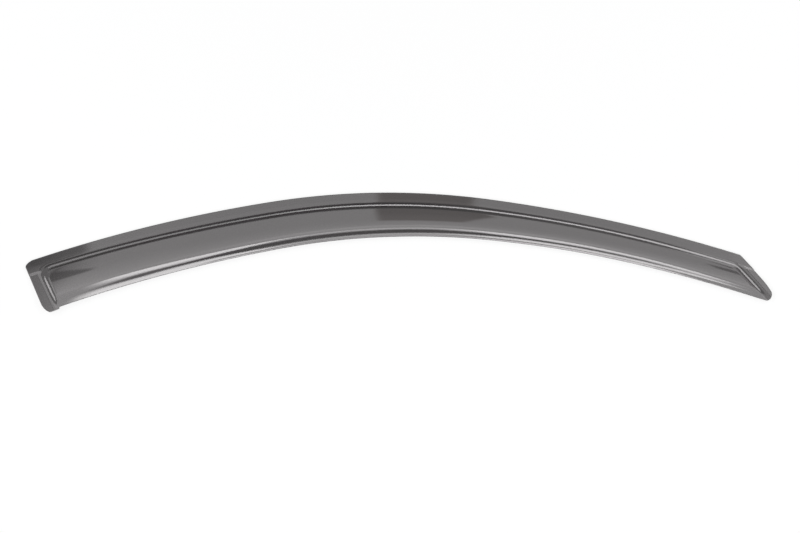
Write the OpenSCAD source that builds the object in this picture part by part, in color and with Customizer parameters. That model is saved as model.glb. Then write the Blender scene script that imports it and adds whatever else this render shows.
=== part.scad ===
// Front-door window rain deflector: one moulded smoked-acrylic shell that is bonded
// to the outside of a car door's window frame by a strip of foam tape.
// It lies here on its back, as it comes out of its packing: X runs along the door from
// the rear end to the pointed front end, Y points to the upper edge and Z away from the door.

/* [Upper edge] */
// Straight length of the upper edge at the rear end, mm
rear_straight = 23.8; // [10:0.1:40]
// Length of the gently curved rear stretch of the upper edge, mm
rear_run = 305; // [200:1:420]
// Radius of the rear stretch, mm
rear_radius = 1905; // [1200:5:3000]
// Length of the tighter stretch over the crown, mm
crown_run = 274; // [150:1:380]
// Radius over the crown, mm
crown_radius = 959; // [700:1:1800]
// Length of the front stretch, which runs down the windscreen pillar, mm
front_run = 333.7; // [200:0.1:450]
// Radius of the front stretch, mm
front_radius = 1929; // [1200:5:3000]
// Heading of the upper edge at the rear end, degrees above the X axis
rear_heading = 18.1; // [10:0.1:26]

/* [Width] */
// Width of the deflector at the rear end, mm
width_rear = 70.4; // [60:0.1:85]
// Width a quarter of the way along, mm
width_rear_mid = 64.3; // [55:0.1:80]
// Width at the middle, mm
width_middle = 57.8; // [50:0.1:75]
// Width three quarters of the way along, mm
width_front_mid = 49.7; // [44:0.1:70]
// Width at the front corner, mm
width_front = 46.3; // [42:0.1:65]

/* [Moulding] */
// Wall thickness of the acrylic, mm
wall = 2.8; // [2:0.1:3.5]
// Radius that softens the outer rim, mm
rim_soft = 0.8; // [0.4:0.1:1.4]
// Angle by which the shell leans out from its upper edge, degrees
lean = 6.5; // [3:0.5:9]
// Flat width of the upper flange at the rear end, mm
flange_rear = 10.3; // [9:0.1:15]
// Flat width of the upper flange a quarter of the way along, mm
flange_rear_mid = 12.5; // [9:0.1:15]
// Flat width of the upper flange at the middle, mm
flange_middle = 11.9; // [9:0.1:15]
// Flat width of the upper flange three quarters of the way along, mm
flange_front_mid = 10.4; // [9:0.1:14]
// Flat width of the upper flange at the front corner, mm
flange_front = 10.5; // [9:0.1:14]
// Width of the step from the flange up to the panel at the rear end, mm
step_w = 11; // [9:0.1:14]
// Width of the step at the front corner, mm
step_w_front = 9.5; // [8:0.1:14]
// Angle of the step where it is steepest, degrees
step_angle = 38; // [30:1:45]
// Share of the step's width that its hollow lower arc takes
step_share = 0.45; // [0.4:0.01:0.6]
// Height that the panel gains on its way to the lower edge, mm
panel_rise = -0.8; // [-1.5:0.1:3]
// Crown of the panel between the step and the lower edge, mm
panel_crown = 0.8; // [0:0.1:2]

/* [Lower lip] */
// Width of the joggle above the lower rim at the rear end, mm
joggle_w = 15; // [10:0.1:17]
// Width of the joggle at the front corner, mm
joggle_w_front = 8; // [7:0.1:12]
// Angle by which the joggle bends the panel down, degrees
joggle_angle = 19; // [12:1:24]
// Share of the joggle's width in which it bends down
joggle_share = 0.68; // [0.5:0.01:0.75]
// Share of the joggle's depth that is left at the rear end
joggle_rear = 0.35; // [0.2:0.05:1]
// Distance from the rear end at which the joggle has its full depth, mm
joggle_run = 150; // [80:5:250]
// Width of the rim below the joggle at the rear end, mm
rim_w = 3.2; // [2.5:0.1:6]
// Width of that rim at the front corner, mm
rim_w_front = 4.6; // [2.5:0.1:6]
// Angle of the rim against the panel, degrees
rim_angle = 13; // [5:0.5:16]

/* [Rear end] */
// Flat width of the rear end flange, measured along the upper edge, mm
rear_flange = 10.4; // [8:0.1:16]
// Slant of the rear edge, degrees
rear_slant = 5.6; // [0:0.1:10]
// Slant of the step that runs down the rear end, degrees
rear_step_slant = 9; // [4:0.5:12]
// Radius of the rear outer corners, mm
rear_corner = 6.5; // [3:0.1:8]
// Width over which the upper step blends into the one that runs down the rear end, mm
rear_blend = 15.2; // [8:0.1:22]
// How far the rear end flange hangs below the lower lip, mm
rear_tab = 2.2; // [0:0.1:4]
// Distance from the rear end to the inner edge of that tab, mm
rear_tab_end = 20.8; // [16:0.1:28]
// Distance from the upper edge to the small step across the rear end flange, mm
rear_step_line = 17.8; // [16:0.1:24]

/* [Front end] */
// Angle between the upper edge and the slanted front edge, degrees
front_slant = 29.6; // [26:0.1:36]
// Flat width of the slanted front flange, mm
front_flange = 10.4; // [7:0.1:13]
// Distance from the upper edge to the small step across the front flange, mm
front_step_line = 13.3; // [12:0.1:16]
// How far the front edge steps back there, mm
front_setback = 1.7; // [0:0.1:3]
// Distance from the upper edge at which the straight front edge turns into the rounded nose, mm
nose_start = 26; // [22:0.5:30]
// Radius of the rounded nose, mm
nose_radius = 41; // [36:1:60]
// Radius of the front tip, mm
tip_radius = 7; // [4:0.1:9]
// Rounding where the upper step turns into the slanted one, mm
front_turn = 3; // [2:0.1:12]
// Share of the panel's height that fades out towards the front tip
front_fade = 0.3; // [0.2:0.05:0.7]
// Length over which it fades, mm
fade_run = 170; // [100:5:250]
// Step by which both end flanges sit closer to the door than the upper flange, mm
end_drop = 0.8; // [0:0.1:1.4]

/* [Foam tape] */
// Width of the tape, mm
tape_w = 7; // [4:0.5:8]
// Thickness of the tape, mm
tape_h = 1.1; // [0.8:0.1:1.6]
// Distance of the tape from the upper edge, mm
tape_inset = 1.4; // [1:0.1:2.4]
// Distance of the tape's ends from the ends of the upper edge, mm
tape_end = 7; // [4:0.5:20]

/* [Hidden] */
smoke = [0.16, 0.15, 0.15];
tape_grey = [0.07, 0.07, 0.08];

// Thin glue line between the tape and the flange
glue_line = 0.02;
// Width of the small steps across the end flanges and at the tab
small_step = 3;
tab_step = 1.2;
// How far the rear edge steps back at the small step
rear_setback = 1.2;
// Shares of the step's width over which the end flanges' drop fades out, below its foot and in all
drop_before = 0.25;
drop_run = 0.75;
// How far the slant of each end spreads into the shell
rear_spread = 60;
front_spread = 165;
// Finely divided stretches at the ends
rear_zone = rear_flange + step_w + rear_blend;
front_zone = (front_flange + step_w_front) / sin(front_slant) + front_turn;
rear_cells = 18;
middle_cells = 44;
front_cells = 17;
step_cells = 8;
panel_cells = 7;
lip_cells = 9;
tiny = 0.05;

length = rear_straight + rear_run + crown_run + front_run;

function clamp(x) = min(1, max(0, x));
function ease(x) = let (u = clamp(x)) u * u * (3 - 2 * u);
function mix(a, b, u) = a + (b - a) * u;
function blended_min(a, b, k) = min(a, b) - pow(max(k - abs(a - b), 0), 2) / (4 * k);

// A step made of two tangent arcs, from 0 at x = 0 to h at x = w; the first takes its share of w
function arc_step(x, w, h, share) =
    let (radii = (w * w + h * h) / (2 * h), r = share * radii, q = radii - r, u = min(w, max(0, x)))
    u < share * w ? r - sqrt(r * r - u * u) : h - q + sqrt(q * q - (w - u) * (w - u));

// Upper edge: a straight and three tangent arcs, each [length, radius]
runs = [[rear_straight, 0], [rear_run, rear_radius], [crown_run, crown_radius], [front_run, front_radius]];

function turned(run, s) = run[1] == 0 ? 0 : s / run[1] * 180 / PI;
function moved(run, s, heading) =
    run[1] == 0
    ? s * [cos(heading), sin(heading)]
    : run[1] * [sin(heading) - sin(heading - turned(run, s)), cos(heading - turned(run, s)) - cos(heading)];

// Point and heading of the upper edge at the distance s along it
function edge_at(s, k = 0, point = [0, 0], heading = rear_heading) =
    k == len(runs) - 1 || s <= runs[k][0]
    ? [point + moved(runs[k], s, heading), heading - turned(runs[k], s)]
    : edge_at(s - runs[k][0], k + 1, point + moved(runs[k], runs[k][0], heading),
              heading - turned(runs[k], runs[k][0]));

// Widths at the distance s, smooth curves through the five values of each
widths = [width_rear, width_rear_mid, width_middle, width_front_mid, width_front];
flanges = [flange_rear, flange_rear_mid, flange_middle, flange_front_mid, flange_front];
function slope_of(v, k) = (v[min(k + 1, 4)] - v[max(k - 1, 0)]) / (k == 0 || k == 4 ? 1 : 2);
function curve_through(v, s) =
    let (x = 4 * clamp(s / length), k = min(3, floor(x)), u = x - k)
    v[k] * (1 + 2 * u) * (1 - u) * (1 - u) + slope_of(v, k) * u * (1 - u) * (1 - u)
    + v[k + 1] * u * u * (3 - 2 * u) - slope_of(v, k + 1) * u * u * (1 - u);
function width_at(s) = curve_through(widths, s);
function flange_at(s) = curve_through(flanges, s);
function step_w_at(s) = mix(step_w, step_w_front, clamp(s / length));
function step_h_at(s) = step_w_at(s) * tan(step_angle / 2);
function joggle_at(s) = mix(joggle_w, joggle_w_front, clamp(s / length));
function joggle_d_at(s) = joggle_at(s) * tan(joggle_angle / 2) * mix(joggle_rear, 1, ease(s / joggle_run));
function lip_at(s) = joggle_at(s) + mix(rim_w, rim_w_front, clamp(s / length));
function small_step_at(s) = mix(rear_step_line, front_step_line, clamp(s / length));

// Rear edge: how far it lies in from the start of the upper edge at the depth t below it
function rear_edge(t, w) =
    let (low = t - (w - rear_corner), high = rear_corner - t)
    t * tan(rear_slant)
    + rear_setback * ease((t - rear_step_line) / small_step + 0.5)
    + (high > 0 ? rear_corner - sqrt(rear_corner * rear_corner - high * high) : 0)
    + (low > 0 ? rear_corner - sqrt(max(0, rear_corner * rear_corner - low * low)) : 0);

// Front edge: how far it reaches past the end of the upper edge
function slant_line(t) = t / tan(front_slant);
nose_centre = [slant_line(nose_start) - front_setback - nose_radius * sin(front_slant),
               nose_start + nose_radius * cos(front_slant)];
function arc_reach(centre, r, t) = centre[0] + sqrt(max(0, r * r - (t - centre[1]) * (t - centre[1])));
function front_edge(t, w) =
    let (inner_r = nose_radius - tip_radius,
         tip = [arc_reach(nose_centre, inner_r, w - tip_radius), w - tip_radius],
         tangent_t = nose_centre[1] + (tip[1] - nose_centre[1]) * nose_radius / inner_r,
         high = max(0, front_turn - t) / front_turn)
    t > tangent_t
    ? arc_reach(tip, tip_radius, t)
    : t > nose_start
    ? arc_reach(nose_centre, nose_radius, t)
    : slant_line(t) - rim_soft * high * high - front_setback * ease((t - front_step_line) / small_step + 0.5);

// Distances inwards from the foot of the step along the rear end and along the slanted front
function rear_depth(s, t) = (s - t * tan(rear_step_slant) - rear_setback) * cos(rear_step_slant) - rear_flange;
function front_depth(s, t) = (length + slant_line(t) - s) * sin(front_slant) - front_flange;
function end_depth(s, t) = min(rear_depth(s, t), front_depth(s, t));

// Distance inwards from the foot of the whole step
function step_depth(s, t) =
    blended_min(blended_min(t - flange_at(s), rear_depth(s, t), rear_blend), front_depth(s, t), front_turn);

// Height of the panel over the flange, away from the ends
function panel_height(s, t, w) =
    let (foot = flange_at(s) + step_w_at(s),
         x = clamp((t - foot) / (w - foot)),
         lip = max(0, t - (w - lip_at(s))))
    step_h_at(s) + panel_rise * x + 4 * panel_crown * x * (1 - x)
    - arc_step(lip, joggle_at(s), joggle_d_at(s), joggle_share)
    - tan(rim_angle) * lip * lip / (2 * lip_at(s));

// Height of the outer surface over the back of the upper flange
function outer_height(s, t, w) =
    let (high = step_h_at(s),
         share = arc_step(step_depth(s, t), step_w_at(s), high, step_share) / high,
         fade = 1 - front_fade * ease((s - length + fade_run - front_zone) / fade_run),
         drop = end_drop * ease((t - small_step_at(s)) / small_step + 0.5)
                * (1 - ease((end_depth(s, t) / step_w + drop_before) / drop_run)))
    wall + share * fade * panel_height(s, t, w) - drop;

// Point of the shell: s along the upper edge, t down from it, h out from the door
z_foot = tape_h * cos(lean) - tape_inset * sin(lean);
function place(s, t, h) =
    let (edge = edge_at(s), down = t * cos(lean) - h * sin(lean))
    [edge[0][0] + down * sin(edge[1]), edge[0][1] - down * cos(edge[1]),
     t * sin(lean) + h * cos(lean) + z_foot];

// Stations along the shell, with fine cells at both ends
stations = concat(
    [0, rim_soft],
    [for (k = [1 : rear_cells]) rim_soft + (rear_zone - rim_soft) * k / rear_cells],
    [for (k = [1 : middle_cells]) mix(rear_zone, length - front_zone, k / middle_cells)],
    [for (k = [1 : front_cells]) mix(length - front_zone, length - 2 * rim_soft, k / front_cells)],
    [length]);

// Where a station line meets the depth t
function along(a, t, w) =
    let (rear = 1 - clamp(a / rear_spread),
         front = ease((a - length + front_zone + front_spread) / front_spread),
         nose = clamp((a - length + front_zone) / front_zone))
    a + rear * rear_edge(t, w) + front * mix(slant_line(t), front_edge(t, w), nose);

// Local width with the tab of the rear end flange
function full_width(a) =
    let (w = width_at(a), s = a + (1 - clamp(a / rear_spread)) * w * tan(rear_slant))
    w + rear_tab * (1 - ease((s - rear_tab_end) / tab_step));

// Depths t of the levels across the shell
function levels(a) =
    let (w = full_width(a), f = flange_at(a), step = step_w_at(a), lip_w = lip_at(a))
    concat(
        [0, rim_soft],
        [for (k = [2 : 5]) mix(rim_soft, f, k / 6)],
        [for (k = [0 : step_cells]) f + step * k / step_cells],
        [for (k = [1 : panel_cells]) mix(f + step, w - lip_w, k / panel_cells)],
        [for (k = [1 : lip_cells]) w - lip_w + (lip_w - rim_soft) * k / lip_cells],
        [w]);

// Distance from the rim of the outline, which softens the outer edge
function rim_drop(i, j, last_i, last_j) = i == 0 || j == 0 || i == last_i || j == last_j ? rim_soft : 0;

level_table = [for (a = stations) levels(a)];
last_station = len(stations) - 1;
last_level = len(level_table[0]) - 1;

function shell_point(i, j, inner) =
    let (a = stations[i], w = full_width(a), t = level_table[i][j], s = along(a, t, w),
         h = outer_height(s, t, w),
         slope_s = (outer_height(s + tiny, t, w) - outer_height(s - tiny, t, w)) / (2 * tiny),
         slope_t = (outer_height(s, t + tiny, w) - outer_height(s, t - tiny, w)) / (2 * tiny),
         inwards = wall / sqrt(1 + slope_s * slope_s + slope_t * slope_t))
    inner
    ? place(s + slope_s * inwards, t + slope_t * inwards, h - inwards)
    : place(s, t, h - rim_drop(i, j, last_station, last_level));

outer_points = [for (i = [0 : last_station]) for (j = [0 : last_level]) shell_point(i, j, false)];
inner_points = [for (i = [0 : last_station]) for (j = [0 : last_level]) shell_point(i, j, true)];

// Middle of the outline, so that the shell is centred on the origin
xs = [for (p = concat(outer_points, inner_points)) p[0]];
ys = [for (p = concat(outer_points, inner_points)) p[1]];
centre = [(min(xs) + max(xs)) / 2, (min(ys) + max(ys)) / 2, 0];

// Faces of a closed skin over two grids of points, rows by columns
function skin_faces(rows, cols) =
    let (n = rows * cols)
    concat(
        [for (i = [0 : rows - 2]) for (j = [0 : cols - 2])
            each let (q = i * cols + j) [[q, q + 1, q + cols], [q + 1, q + cols + 1, q + cols]]],
        [for (i = [0 : rows - 2]) for (j = [0 : cols - 2])
            each let (q = n + i * cols + j) [[q, q + cols, q + 1], [q + 1, q + cols, q + cols + 1]]],
        [for (i = [0 : rows - 2])
            each let (q = i * cols) [[q, q + cols, n + q], [q + cols, n + q + cols, n + q]]],
        [for (i = [0 : rows - 2])
            each let (q = i * cols + cols - 1) [[q, n + q, q + cols], [q + cols, n + q, n + q + cols]]],
        [for (j = [0 : cols - 2]) each [[j, n + j, j + 1], [j + 1, n + j, n + j + 1]]],
        [for (j = [0 : cols - 2])
            each let (q = (rows - 1) * cols + j) [[q, q + 1, n + q], [q + 1, n + q + 1, n + q]]]);

module deflector() {
    color(smoke)
        translate(-centre)
            polyhedron(concat(outer_points, inner_points), skin_faces(last_station + 1, last_level + 1));
}

// The tape follows the stations of the shell on the back of the upper flange
tape_span = min(tape_w, min(flanges) - tape_inset - 0.5);
tape_stations = concat(
    [tape_end],
    [for (a = stations) if (a > tape_end + 1 && a < length - tape_end - 1) a],
    [length - tape_end]);

module foam_tape() {
    top = [for (s = tape_stations) for (t = [tape_inset, tape_inset + tape_span]) place(s, t, -glue_line)];
    bottom = [for (s = tape_stations) for (t = [tape_inset, tape_inset + tape_span]) place(s, t, -tape_h)];
    color(tape_grey)
        translate(-centre)
            polyhedron(concat(top, bottom), skin_faces(len(tape_stations), 2));
}

deflector();
foam_tape();
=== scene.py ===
"""A smoked-acrylic window deflector that lies face up on a white table, seen from straight above."""

import bpy
import numpy as np
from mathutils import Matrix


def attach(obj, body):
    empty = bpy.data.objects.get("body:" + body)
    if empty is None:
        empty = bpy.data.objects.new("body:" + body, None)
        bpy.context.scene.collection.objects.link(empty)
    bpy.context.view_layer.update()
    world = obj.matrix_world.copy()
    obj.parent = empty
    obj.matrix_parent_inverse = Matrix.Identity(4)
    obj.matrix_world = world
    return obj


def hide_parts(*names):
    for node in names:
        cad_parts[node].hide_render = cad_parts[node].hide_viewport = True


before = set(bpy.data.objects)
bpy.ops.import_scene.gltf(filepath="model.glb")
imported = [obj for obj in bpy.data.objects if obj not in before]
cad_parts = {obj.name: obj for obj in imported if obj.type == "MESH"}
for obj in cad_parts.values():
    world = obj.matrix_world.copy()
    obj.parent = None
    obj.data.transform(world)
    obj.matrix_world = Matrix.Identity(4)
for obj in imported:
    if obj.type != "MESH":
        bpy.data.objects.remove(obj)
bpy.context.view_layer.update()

# Sizes of the moulding, in millimetres and radians; its surface stays within 2 mm of the CAD node's
# The upper edge is a row of runs, each (length, radius), where a radius of 0 means straight
UPPER_EDGE = [(23.8, 0.0), (305.0, 1905.0), (274.0, 959.0), (333.7, 1929.0)]
REAR_HEADING = np.radians(18.1)
LENGTH = sum(run for run, radius in UPPER_EDGE)
# Widths and flanges at five equal distances along the upper edge, from the rear to the front
WIDTHS = [69.2, 64.3, 57.8, 49.7, 45.8]
FLANGES = [10.3, 12.5, 11.9, 10.4, 10.5]
WALL = 2.8
RIM_SOFT = 0.8
LEAN = np.radians(6.5)
# The step from the flange up to the panel
STEP_W = 11.0
STEP_W_FRONT = 9.5
STEP_ANGLE = np.radians(38.0)
STEP_SHARE = 0.45
PANEL_RISE = -0.8
PANEL_CROWN = 0.8
# The joggled lip with its sloping rim
JOGGLE_W = 15.6
JOGGLE_W_FRONT = 9.2
JOGGLE_ANGLE = np.radians(19.8)
JOGGLE_SHARE = 0.68
JOGGLE_REAR = 0.35
JOGGLE_RUN = 150.0
RIM_W = 2.4
RIM_W_FRONT = 3.3
RIM_ANGLE = np.radians(10.5)
# The rear end, with elliptic corners
REAR_FLANGE = 11.9
REAR_SLANT = np.radians(5.6)
REAR_STEP_SLANT = np.radians(7.6)
REAR_TOP_RUN = 20.0
REAR_TOP_DROP = 7.0
REAR_LOW_RUN = 9.5
REAR_LOW_RISE = 15.0
REAR_BLEND = 15.2
REAR_TAB = 2.0
REAR_TAB_END = 20.8
REAR_STEP_LINE = 17.8
# The slanted front end
FRONT_SLANT = np.radians(29.6)
FRONT_FLANGE = 8.7
FRONT_STEP_LINE = 13.3
FRONT_SETBACK = 1.0
NOSE_START = 21.0
NOSE_RADIUS = 125.0
TIP_RADIUS = 7.6
FRONT_TURN = 3.0
FRONT_FADE = 0.3
FADE_RUN = 170.0
# Both end flanges lie closer to the door below a small step
END_DROP = 0.8
DROP_BEFORE = 0.25
DROP_RUN = 0.75
SMALL_STEP = 3.0
TAB_STEP = 1.2
# The tape under the upper flange, which the part rests on
TAPE_H = 1.1
TAPE_INSET = 1.4
FOOT = TAPE_H * np.cos(LEAN) - TAPE_INSET * np.sin(LEAN)
# Stretches over which the station lines turn from square to the slants of the ends
REAR_SPREAD = 60.0
FRONT_SPREAD = 165.0
REAR_ZONE = REAR_FLANGE + STEP_W + REAR_BLEND
FRONT_ZONE = (FRONT_FLANGE + STEP_W_FRONT) / np.sin(FRONT_SLANT) + FRONT_TURN
ZONE_MARGIN = 20.0
# Middle of the CAD outline, seen from the start of the upper edge
MIDDLE = (480.36, 13.06)


def clamp(x):
    return np.clip(x, 0.0, 1.0)


def ease(x):
    u = clamp(x)
    return u * u * (3 - 2 * u)


def soft(x, at, blur):
    """0 below a border and 1 above it, with a soft border."""
    return ease((x - at) / blur + 0.5)


def between(x, low, high, blur):
    return soft(x, low, blur) * (1 - soft(x, high, blur))


def mix(a, b, u):
    return a + (b - a) * u


def unit(v):
    return v / np.linalg.norm(v, axis=1)[:, None]


def blended_min(a, b, k):
    return np.minimum(a, b) - np.maximum(k - np.abs(a - b), 0) ** 2 / (4 * k)


def arc_step(x, w, h, share):
    """A step from 0 at x = 0 to h at x = w, of two tangent arcs; the first one spans its share of w."""
    radii = (w * w + h * h) / (2 * h)
    r, q = share * radii, (1 - share) * radii
    u = np.clip(x, 0, w)
    low = r - np.sqrt(np.maximum(0, r * r - u * u))
    high = h - q + np.sqrt(np.maximum(0, q * q - (w - u) ** 2))
    return np.where(u < share * w, low, high)


def run_on(along, radius, turn):
    """How far a run has got after the distance along it, and its heading there."""
    if not radius:
        return along * np.cos(turn), along * np.sin(turn), turn + 0 * along
    heading = turn - along / radius
    return radius * (np.sin(turn) - np.sin(heading)), radius * (np.cos(heading) - np.cos(turn)), heading


def edge_at(s):
    """Point and heading of the upper edge at the distance s along it; the end runs go on past the ends."""
    found = None
    start, x, y, turn = 0.0, 0.0, 0.0, REAR_HEADING
    for run, radius in UPPER_EDGE:
        dx, dy, heading = run_on(s - start, radius, turn)
        here = np.stack([x + dx, y + dy, heading])
        found = here if found is None else np.where(s < start, found, here)
        dx, dy, turn = run_on(run, radius, turn)
        start, x, y = start + run, x + dx, y + dy
    return found


def curve_through(values, s):
    """A smooth curve through five values at equal distances along the upper edge."""
    v = np.array(values)
    x = 4 * clamp(s / LENGTH)
    k = np.minimum(3, np.floor(x)).astype(int)
    u = x - k

    def slope(k):
        return (v[np.minimum(k + 1, 4)] - v[np.maximum(k - 1, 0)]) / np.where((k == 0) | (k == 4), 1, 2)

    rise = slope(k) * u * (1 - u) ** 2 - slope(k + 1) * u * u * (1 - u)
    return v[k] * (1 + 2 * u) * (1 - u) ** 2 + v[k + 1] * u * u * (3 - 2 * u) + rise


def towards_front(rear, front, s):
    return mix(rear, front, clamp(s / LENGTH))


def step_w_at(s):
    return towards_front(STEP_W, STEP_W_FRONT, s)


def joggle_at(s):
    return towards_front(JOGGLE_W, JOGGLE_W_FRONT, s)


def lip_at(s):
    return joggle_at(s) + towards_front(RIM_W, RIM_W_FRONT, s)


def rear_edge(t, w):
    """How far the rear edge lies in from the start of the upper edge at the depth t."""
    high = clamp(1 - t / REAR_TOP_DROP)
    low = clamp(1 - (w - t) / REAR_LOW_RISE)
    top = REAR_TOP_RUN * (1 - np.sqrt(1 - high**2))
    bottom = REAR_LOW_RUN * (1 - np.sqrt(1 - low**2))
    return t * np.tan(REAR_SLANT) + top + bottom


def slant_line(t):
    return t / np.tan(FRONT_SLANT)


def arc_reach(centre_s, centre_t, r, t):
    return centre_s + np.sqrt(np.maximum(0, r * r - (t - centre_t) ** 2))


def front_edge(t, w):
    """How far the front edge reaches past the end of the upper edge at the depth t."""
    nose_s = slant_line(NOSE_START) - FRONT_SETBACK - NOSE_RADIUS * np.sin(FRONT_SLANT)
    nose_t = NOSE_START + NOSE_RADIUS * np.cos(FRONT_SLANT)
    inner_r = NOSE_RADIUS - TIP_RADIUS
    tip_t = w - TIP_RADIUS
    tip_s = arc_reach(nose_s, nose_t, inner_r, tip_t)
    tangent_t = nose_t + (tip_t - nose_t) * NOSE_RADIUS / inner_r
    turn = RIM_SOFT * (np.maximum(0, FRONT_TURN - t) / FRONT_TURN) ** 2
    upper = slant_line(t) - turn - FRONT_SETBACK * soft(t, FRONT_STEP_LINE, SMALL_STEP)
    nose = arc_reach(nose_s, nose_t, NOSE_RADIUS, t)
    tip = arc_reach(tip_s, tip_t, TIP_RADIUS, t)
    return np.where(t > tangent_t, tip, np.where(t > NOSE_START, nose, upper))


def end_depths(s, t):
    """Distances inwards from the feet of the rear and the front step."""
    rear = (s - t * np.tan(REAR_STEP_SLANT)) * np.cos(REAR_STEP_SLANT) - REAR_FLANGE
    front = (LENGTH + slant_line(t) - s) * np.sin(FRONT_SLANT) - FRONT_FLANGE
    return rear, front


def step_depth(s, t):
    """Distance inwards from the foot of the step on its three sides."""
    rear, front = end_depths(s, t)
    top = t - curve_through(FLANGES, s)
    return blended_min(blended_min(top, rear, REAR_BLEND), front, FRONT_TURN)


def panel_height(s, t, w):
    """Height of the crowned panel and its lip over the flange."""
    top = curve_through(FLANGES, s) + step_w_at(s)
    x = clamp((t - top) / (w - top))
    joggle_w = joggle_at(s)
    joggle_d = joggle_w * np.tan(JOGGLE_ANGLE / 2) * mix(JOGGLE_REAR, 1, ease(s / JOGGLE_RUN))
    lip_w = lip_at(s)
    lip = np.maximum(0, t - (w - lip_w))
    fall = arc_step(lip, joggle_w, joggle_d, JOGGLE_SHARE) + np.tan(RIM_ANGLE) * lip**2 / (2 * lip_w)
    step_h = step_w_at(s) * np.tan(STEP_ANGLE / 2)
    return step_h + PANEL_RISE * x + 4 * PANEL_CROWN * x * (1 - x) - fall


def outer_height(s, t, w):
    """Height of the outer surface over the back of the upper flange."""
    step_w = step_w_at(s)
    step_h = step_w * np.tan(STEP_ANGLE / 2)
    share = arc_step(step_depth(s, t), step_w, step_h, STEP_SHARE) / step_h
    fade = 1 - FRONT_FADE * ease((s - LENGTH + FADE_RUN - FRONT_ZONE) / FADE_RUN)
    line = towards_front(REAR_STEP_LINE, FRONT_STEP_LINE, s)
    in_flange = 1 - ease((np.minimum(*end_depths(s, t)) + DROP_BEFORE * STEP_W) / (DROP_RUN * STEP_W))
    drop = END_DROP * soft(t, line, SMALL_STEP) * in_flange
    return WALL + share * fade * panel_height(s, t, w) - drop


def place(s, t, h):
    """Point at s along the upper edge, t down from it and h out from the door."""
    x, y, heading = edge_at(s)
    down = t * np.cos(LEAN) - h * np.sin(LEAN)
    z = t * np.sin(LEAN) + h * np.cos(LEAN) + FOOT
    return np.stack([x + down * np.sin(heading), y - down * np.cos(heading), z], -1)


def full_width(a):
    """Local width with the tab of the rear end flange."""
    w = curve_through(WIDTHS, a)
    s = a + (1 - clamp(a / REAR_SPREAD)) * w * np.tan(REAR_SLANT)
    return w + REAR_TAB * (1 - ease((s - REAR_TAB_END) / TAB_STEP))


def along(a, t, w):
    """Where the station line of a meets the depth t."""
    rear = 1 - clamp(a / REAR_SPREAD)
    front = ease((a - LENGTH + FRONT_ZONE + FRONT_SPREAD) / FRONT_SPREAD)
    nose = clamp((a - LENGTH + FRONT_ZONE) / FRONT_ZONE)
    return a + rear * rear_edge(t, w) + front * mix(slant_line(t), front_edge(t, w), nose)


def spread(*stretches):
    """Joins evenly divided stretches, each (start, end, cells), into one row of values."""
    parts = [np.linspace(a, b, n, endpoint=False) for a, b, n in stretches]
    return np.concatenate(parts + [[stretches[-1][1]]])


def shell_grid():
    """Stations along the shell and depths across it, fine enough for clean reflections."""
    rear_end, front_end = REAR_ZONE + ZONE_MARGIN, LENGTH - FRONT_ZONE - ZONE_MARGIN
    stations = spread(
        (RIM_SOFT, rear_end, 110),
        (rear_end, front_end, 250),
        (front_end, LENGTH - RIM_SOFT, 130),
    )
    w = full_width(stations)
    foot = curve_through(FLANGES, stations)
    top = foot + step_w_at(stations)
    lip = w - lip_at(stations)
    first, last = RIM_SOFT + 0 * w, w - RIM_SOFT
    # A narrow first and last cell keeps the shading of the rounded rim out of the flat flange and lip
    narrow = 0.2
    bends = [(first, first + narrow, 1), (first + narrow, foot, 8), (foot, top, 26), (top, lip, 12)]
    bends += [(lip, last - narrow, 30), (last - narrow, last, 1)]
    rows = [mix(a, b, k / n) for a, b, n in bends for k in range(n)] + [last]
    t = np.stack(rows, 1)
    return np.broadcast_to(stations[:, None], t.shape), t, w[:, None]


def shell_surfaces(a, t, w):
    """Outer surface, and the inner one a wall's thickness below it."""
    s = along(a, t, w)
    tiny = 0.05
    h = outer_height(s, t, w)
    slope_s = (outer_height(s + tiny, t, w) - outer_height(s - tiny, t, w)) / (2 * tiny)
    slope_t = (outer_height(s, t + tiny, w) - outer_height(s, t - tiny, w)) / (2 * tiny)
    inwards = WALL / np.sqrt(1 + slope_s**2 + slope_t**2)
    return place(s, t, h), place(s + slope_s * inwards, t + slope_t * inwards, h - inwards)


def quads(index):
    """The four corners of each cell in a grid of point numbers."""
    corners = index[:-1, :-1], index[:-1, 1:], index[1:, 1:], index[1:, :-1]
    return np.stack([c.ravel() for c in corners], 1)


def rim_walk(grid):
    """The grid's outer ring of points, once round."""
    return np.concatenate([grid[0, :-1], grid[:-1, -1], grid[-1, :0:-1], grid[:0:-1, 0]])


def rim_profile():
    """The rim's points, each (reach outwards, fall), from the round upper corner to the broken lower one."""
    turns = np.radians([15, 30, 45, 60, 75, 90])
    corner = [(RIM_SOFT * np.sin(v), RIM_SOFT * (1 - np.cos(v))) for v in turns]
    return corner + [(RIM_SOFT, WALL - 0.3), (RIM_SOFT - 0.1, WALL - 0.1), (RIM_SOFT - 0.35, WALL)]


def new_object(name, points, faces):
    mesh = bpy.data.meshes.new(name)
    mesh.from_pydata(np.asarray(points).tolist(), [], np.asarray(faces).tolist())
    thing = bpy.data.objects.new(name, mesh)
    bpy.context.scene.collection.objects.link(thing)
    return thing


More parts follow.
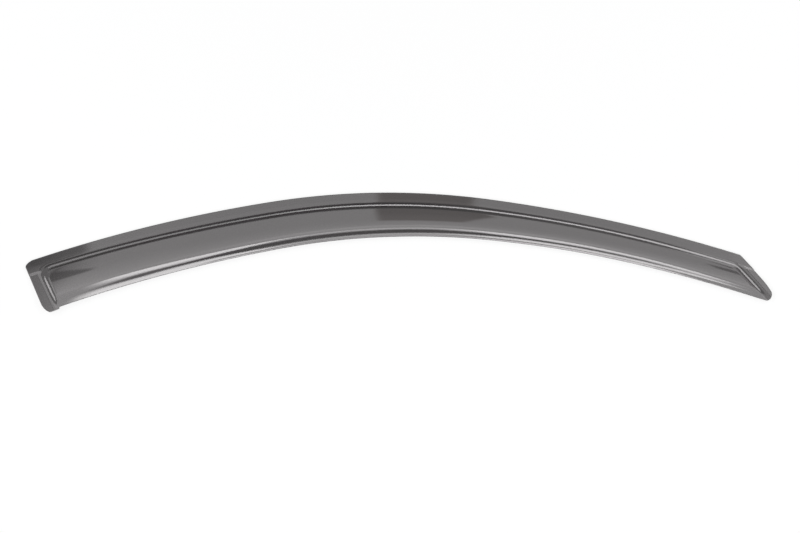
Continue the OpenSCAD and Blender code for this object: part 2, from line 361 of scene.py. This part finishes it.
def build_shell():
    """The moulding as one closed mesh: outer surface, inner surface and the rim between them."""
    a, t, w = shell_grid()
    outer, inner = (surface.reshape(-1, 3) for surface in shell_surfaces(a, t, w))
    count = t.size
    index = np.arange(count).reshape(t.shape)
    points = [outer, inner]
    faces = [quads(index), quads(index)[:, ::-1] + count]
    walk = rim_walk(index)
    top = outer[walk]
    ahead = np.roll(top, -1, 0) - np.roll(top, 1, 0)
    up = unit(top - inner[walk])
    out = unit(np.cross(ahead, up))
    rings = [walk]
    for number, (reach, fall) in enumerate(rim_profile()):
        points.append(top + out * reach - up * fall)
        rings.append(2 * count + number * len(walk) + np.arange(len(walk)))
    rings.append(walk + count)
    for upper, lower in zip(rings, rings[1:]):
        faces.append(np.stack([np.roll(upper, -1), upper, lower, np.roll(lower, -1)], 1))
    metres = (np.concatenate(points) - [*MIDDLE, 0]) / 1000
    shell = new_object("smoked_shell", metres, np.concatenate(faces))
    shell.data.validate()
    shell.data.shade_smooth()
    return shell


def new_material(name):
    material = bpy.data.materials.new(name)
    material.use_nodes = True
    nodes = material.node_tree.nodes
    return material, nodes, material.node_tree.links, nodes["Principled BSDF"]


def smoked_acrylic():
    material, nodes, links, shader = new_material("smoked_acrylic")
    # Faint clouds in the tint and polish of the moulded sheet
    clouds = nodes.new("ShaderNodeTexNoise")
    clouds.inputs["Scale"].default_value = 25.0
    clouds.inputs["Detail"].default_value = 3.0
    tint = nodes.new("ShaderNodeValToRGB")
    tint.color_ramp.elements[0].color = (0.052, 0.0485, 0.049, 1)
    tint.color_ramp.elements[1].color = (0.056, 0.0525, 0.053, 1)
    polish = nodes.new("ShaderNodeMapRange")
    polish.inputs["To Min"].default_value = 0.02
    polish.inputs["To Max"].default_value = 0.04
    links.new(clouds.outputs["Fac"], tint.inputs["Fac"])
    links.new(clouds.outputs["Fac"], polish.inputs["Value"])
    links.new(tint.outputs["Color"], shader.inputs["Base Color"])
    links.new(polish.outputs["Result"], shader.inputs["Roughness"])
    shader.inputs["Transmission Weight"].default_value = 0.5
    shader.inputs["IOR"].default_value = 1.49
    shader.inputs["Coat Weight"].default_value = 1.0
    shader.inputs["Coat Roughness"].default_value = 0.03
    shader.inputs["Coat IOR"].default_value = 1.5
    return material


def tape_foam():
    material, nodes, links, shader = new_material("tape_foam")
    # The foam's fine cells
    noise = nodes.new("ShaderNodeTexNoise")
    noise.inputs["Scale"].default_value = 900.0
    colours = nodes.new("ShaderNodeValToRGB")
    colours.color_ramp.elements[0].color = (0.02, 0.02, 0.022, 1)
    colours.color_ramp.elements[1].color = (0.045, 0.045, 0.048, 1)
    bump = nodes.new("ShaderNodeBump")
    bump.inputs["Strength"].default_value = 0.4
    bump.inputs["Distance"].default_value = 0.0003
    links.new(noise.outputs["Fac"], colours.inputs["Fac"])
    links.new(colours.outputs["Color"], shader.inputs["Base Color"])
    links.new(noise.outputs["Fac"], bump.inputs["Height"])
    links.new(bump.outputs["Normal"], shader.inputs["Normal"])
    shader.inputs["Roughness"].default_value = 0.85
    return material


def seen_directly(nodes, links):
    """1 for what the camera sees, also by way of gloss or through the shell, and 0 for lighting."""
    path = nodes.new("ShaderNodeLightPath")
    two = nodes.new("ShaderNodeMath")
    three = nodes.new("ShaderNodeMath")
    two.operation = three.operation = "MAXIMUM"
    links.new(path.outputs["Is Camera Ray"], two.inputs[0])
    links.new(path.outputs["Is Glossy Ray"], two.inputs[1])
    links.new(two.outputs[0], three.inputs[0])
    links.new(path.outputs["Is Transmission Ray"], three.inputs[1])
    return three.outputs[0]


# The table, in metres, and the share of it that stays white in the part's shadow
TABLE_HALF = 6.0
WHITE_SHARE = 0.8


def white_table():
    """White, of which one share shines wherever it is seen and the rest takes light and shadow."""
    material, nodes, links, shader = new_material("white_table")
    shader.inputs["Base Color"].default_value = (0.92, 0.92, 0.92, 1)
    shader.inputs["Roughness"].default_value = 0.9
    shader.inputs["Specular IOR Level"].default_value = 0.0
    glow = nodes.new("ShaderNodeEmission")
    glow.inputs["Strength"].default_value = 1.0
    share = nodes.new("ShaderNodeMath")
    share.operation = "MULTIPLY"
    share.inputs[1].default_value = WHITE_SHARE
    blend = nodes.new("ShaderNodeMixShader")
    links.new(seen_directly(nodes, links), share.inputs[0])
    links.new(share.outputs[0], blend.inputs["Fac"])
    links.new(shader.outputs["BSDF"], blend.inputs[1])
    links.new(glow.outputs["Emission"], blend.inputs[2])
    links.new(blend.outputs["Shader"], nodes["Material Output"].inputs["Surface"])
    return material


def add_table():
    h = TABLE_HALF
    table = new_object("table", [(-h, -h, 0), (h, -h, 0), (h, h, 0), (-h, h, 0)], [(0, 1, 2, 3)])
    table.data.materials.append(white_table())


# The studio, in metres: a closed room that only the glossy shell mirrors
CEILING = 1.6
ROOM = 2.5
CEILING_POINTS = 501
WALL_POINTS = (101, 80)
WALL_FOOT = 0.02
GREY = np.array([1.01, 0.985, 0.995])
WARM = np.array([1.06, 0.98, 0.96])
# The two bright softboxes towards -Y: their radiances, where 1 is white, and the gap between them
REAR_BOX = 7.4
FRONT_BOX = 7.0
GAP_LEFT = -0.112
GAP_RIGHT = 0.085


# In the glow functions (x, y) is where a view from the part meets the ceiling's level
def upper_boxes(x, y):
    """Two softboxes on the +Y side, dimmer away from the table and beyond the rear end."""
    boxes = mix(2.65, 1.73, soft(y, 0.27, 0.4)) * mix(0.5, 1, soft(x, -0.76, 0.14))
    return boxes + 0.75 * between(x, -1.8, -0.94, 0.06) * (y < 0.34)


def camera_gap(x, y):
    """Where the two softboxes leave a gap for the camera."""
    left = -0.045 - 0.05 * (y - 0.48)
    right = 0.16 + 0.42 * (y - 0.42)
    return soft(x, left, 0.02) * (1 - soft(x, right, 0.03)) * soft(y, 0.41, 0.04)


def dark_flags(x, y):
    """Two dark flags at the outer ends of the softboxes."""
    low = 0.34 + 0.25 * (x + 0.76)
    high = 0.41 - 0.735 * (x + 0.727)
    rear = between(y, low, high, 0.02) * soft(x, -0.97, 0.1) * (1 - soft(x, -0.69, 0.03))
    front = between(y, 0.41, 0.49, 0.03) * soft(x, 0.765, 0.03)
    return rear + front


def far_wall(x, y):
    """The dim wall behind the softboxes, darker with its distance and brighter to the right."""
    wall = mix(1.25, 0.08, soft(y, 1.0, 0.75))
    return wall + 0.14 * between(x, 0.25, 0.75, 0.15) + 0.6 * soft(x, 0.8, 0.9)


def upper_glow(x, y):
    """The side towards +Y, and how much of it is the camera's gap."""
    gap = camera_gap(x, y)
    glow = mix(upper_boxes(x, y), far_wall(x, y), soft(y, 0.71, 0.05))
    glow = glow * mix(1, mix(0.48, 0.38, soft(y, 0.55, 0.2)), gap * (1 - soft(y, 1.1, 0.5)))
    glow = glow * (1 - 0.6 * dark_flags(x, y))
    front_shade = soft(x, 1.1, 0.2) * soft(y, 0.5, 0.2)
    corner_light = between(x / np.maximum(y, 0.01), 0.70, 1.1, 0.12) * soft(x, 0.85, 0.2)
    return mix(glow * (1 - 0.15 * front_shade), 2.5, corner_light), gap * (1 - soft(y, 0.8, 0.2))


def lower_glow(x, y):
    """The side towards -Y: two bright softboxes with a dim gap between them."""
    away = -y
    near = mix(2.65, 2.35, soft(away, 0.15, 0.2))
    near = near - 0.45 * between(x, -0.5, -0.26, 0.1) * (1 - soft(away, 0.1, 0.1))
    beyond = mix(0.7, 2.6, soft(np.abs(x - 0.02), 0.17, 0.2) * (x > 0))
    gap = mix(mix(near, 3.9, soft(away, 0.42, 0.1)), 0.3, soft(away, 0.82, 0.5))
    glow = mix(mix(near, beyond, soft(away, 1.0, 0.6)), gap, between(x, GAP_LEFT, GAP_RIGHT, 0.07))
    rear_start = 0.45 - np.maximum(0, -0.24 - x)
    rear_edge_x = -0.49 + 0.36 * np.maximum(0, away - 0.25)
    rear = soft(away, rear_start, 0.1) * (1 - soft(away, 1.0, 0.7))
    rear = rear * between(x, rear_edge_x, GAP_LEFT, 0.07)
    front_edge_x = 0.58 - 0.34 * (away - 0.3)
    front = soft(away, 0.485, 0.09) * (1 - soft(away, 1.06, 0.5))
    front = front * between(x, GAP_RIGHT, front_edge_x, 0.07)
    return mix(mix(glow, REAR_BOX, rear), FRONT_BOX, front)


def horizon_glow(x, y):
    """Bright strips low around the table."""
    back = mix(2.0, 4.6, soft(x / np.maximum(y, 0.01), -0.16, 0.4))
    share = np.abs(y) / np.maximum(np.hypot(x, y), 0.001)
    return mix(3.8, np.where(y > 0, back, 7.0), soft(share, 0.72, 0.3))


def horizon_start(x, y):
    """Distance from which a direction counts as low, nearer towards both ends."""
    reach = np.maximum(np.hypot(x, y), 0.001)
    start = mix(mix(6.6, 6.2, soft(-x / reach, 0.8, 0.2)), 4.4, soft(x / reach, 0.42, 0.12))
    start = mix(start, 3.1, between(x / reach, 0.48, 0.62, 0.06) * (y > 0))
    return mix(start, 3.6, soft(-y / reach, 0.29, 0.06) * (x < 0))


def studio_glow(x, y):
    """Radiance of the whole room by direction, dim at the far left and bright low down."""
    upper, gap = upper_glow(x, y)
    glow = mix(lower_glow(x, y), upper, soft(y, 0.0, 0.04))
    glow = mix(0.8, glow, soft(x, -1.75, 0.3))
    low = soft(np.hypot(x, y), horizon_start(x, y), 1.2)
    tint = mix(GREY, WARM, (gap * (1 - low))[..., None])
    return mix(glow, horizon_glow(x, y), low)[..., None] * tint


def glow_material(name):
    """Shines with the colours stored at the points of its mesh."""
    material = bpy.data.materials.new(name)
    material.use_nodes = True
    material.cycles.emission_sampling = "NONE"
    nodes, links = material.node_tree.nodes, material.node_tree.links
    nodes.remove(nodes["Principled BSDF"])
    stored = nodes.new("ShaderNodeAttribute")
    stored.attribute_name = "glow"
    emission = nodes.new("ShaderNodeEmission")
    links.new(stored.outputs["Color"], emission.inputs["Color"])
    links.new(emission.outputs["Emission"], nodes["Material Output"].inputs["Surface"])
    return material


def add_glow_sheet(name, x, y, z):
    """A grid of points that shines with the studio's glow, seen from the part."""
    points = np.stack([x, y, z], -1).reshape(-1, 3)
    sheet = new_object(name, points, quads(np.arange(x.size).reshape(x.shape)))
    colour = studio_glow(x * CEILING / z, y * CEILING / z).reshape(-1, 3)
    colour = np.concatenate([colour, np.ones((len(colour), 1))], 1)
    stored = sheet.data.attributes.new("glow", "FLOAT_COLOR", "POINT")
    stored.data.foreach_set("color", colour.ravel().astype(np.float32))
    sheet.data.materials.append(glow_material(name))
    sheet.visible_camera = False
    sheet.visible_diffuse = False
    sheet.visible_transmission = False
    sheet.visible_shadow = False


def add_studio():
    across = np.linspace(-ROOM, ROOM, CEILING_POINTS)
    x, y = np.meshgrid(across, across, indexing="ij")
    add_glow_sheet("ceiling", x, y, CEILING + 0 * x)
    wide, high = WALL_POINTS
    levels = np.linspace(WALL_FOOT, CEILING, high)
    u, z = np.meshgrid(np.linspace(-ROOM, ROOM, wide), levels, indexing="ij")
    wall = ROOM + 0 * u
    for name, wx, wy in [("back", u, wall), ("front", u, -wall), ("left", -wall, u), ("right", wall, u)]:
        add_glow_sheet("studio_" + name, wx, wy, z)


# Soft lamps for everything that isn't mirrored, each (name, x, y, width, depth), and their radiance
LAMPS = [
    ("lamp_left", -1.3, 0.2, 1.6, 2.4),
    ("lamp_right", 1.3, 0.2, 1.6, 2.4),
    ("lamp_near", 0.0, -1.3, 1.6, 1.0),
]
LAMP_RADIANCE = 2.6


def add_lamp(name, x, y, width, depth):
    light = bpy.data.lights.new(name, "AREA")
    light.shape = "RECTANGLE"
    light.size = width
    light.size_y = depth
    light.energy = LAMP_RADIANCE * np.pi * width * depth
    lamp = bpy.data.objects.new(name, light)
    lamp.location = (x, y, CEILING)
    lamp.visible_camera = False
    lamp.visible_glossy = False
    bpy.context.scene.collection.objects.link(lamp)


def add_world():
    """A faint cool fill for lighting, and plain white wherever it is seen."""
    world = bpy.data.worlds.new("studio")
    bpy.context.scene.world = world
    world.use_nodes = True
    nodes, links = world.node_tree.nodes, world.node_tree.links
    fill = nodes["Background"]
    fill.inputs["Color"].default_value = (0.92, 0.96, 1.0, 1)
    fill.inputs["Strength"].default_value = 0.12
    white = nodes.new("ShaderNodeBackground")
    white.inputs["Strength"].default_value = 1.0
    blend = nodes.new("ShaderNodeMixShader")
    links.new(seen_directly(nodes, links), blend.inputs["Fac"])
    links.new(fill.outputs["Background"], blend.inputs[1])
    links.new(white.outputs["Background"], blend.inputs[2])
    links.new(blend.outputs["Shader"], nodes["World Output"].inputs["Surface"])


# The picture is 1.024 m wide at the part's middle level, and its middle lies a little below the part's
CAMERA_HEIGHT = 3.5
PICTURE_WIDTH = 1.024
PICTURE_MIDDLE = (0.00182, -0.01737)
MID_LEVEL = 0.006


def add_camera():
    data = bpy.data.cameras.new("overhead")
    data.sensor_width = 36.0
    data.lens = (CAMERA_HEIGHT - MID_LEVEL) * data.sensor_width / PICTURE_WIDTH
    data.clip_end = 50.0
    camera = bpy.data.objects.new("overhead", data)
    camera.location = (*PICTURE_MIDDLE, CAMERA_HEIGHT)
    bpy.context.scene.collection.objects.link(camera)
    bpy.context.scene.camera = camera


shell = build_shell()
shell.data.materials.append(smoked_acrylic())
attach(shell, "root")
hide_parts("deflector")

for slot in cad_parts["foam_tape"].material_slots:
    slot.material = tape_foam()

add_table()
add_studio()
for lamp in LAMPS:
    add_lamp(*lamp)
add_world()
add_camera()
bpy.context.scene.view_settings.view_transform = "Standard"
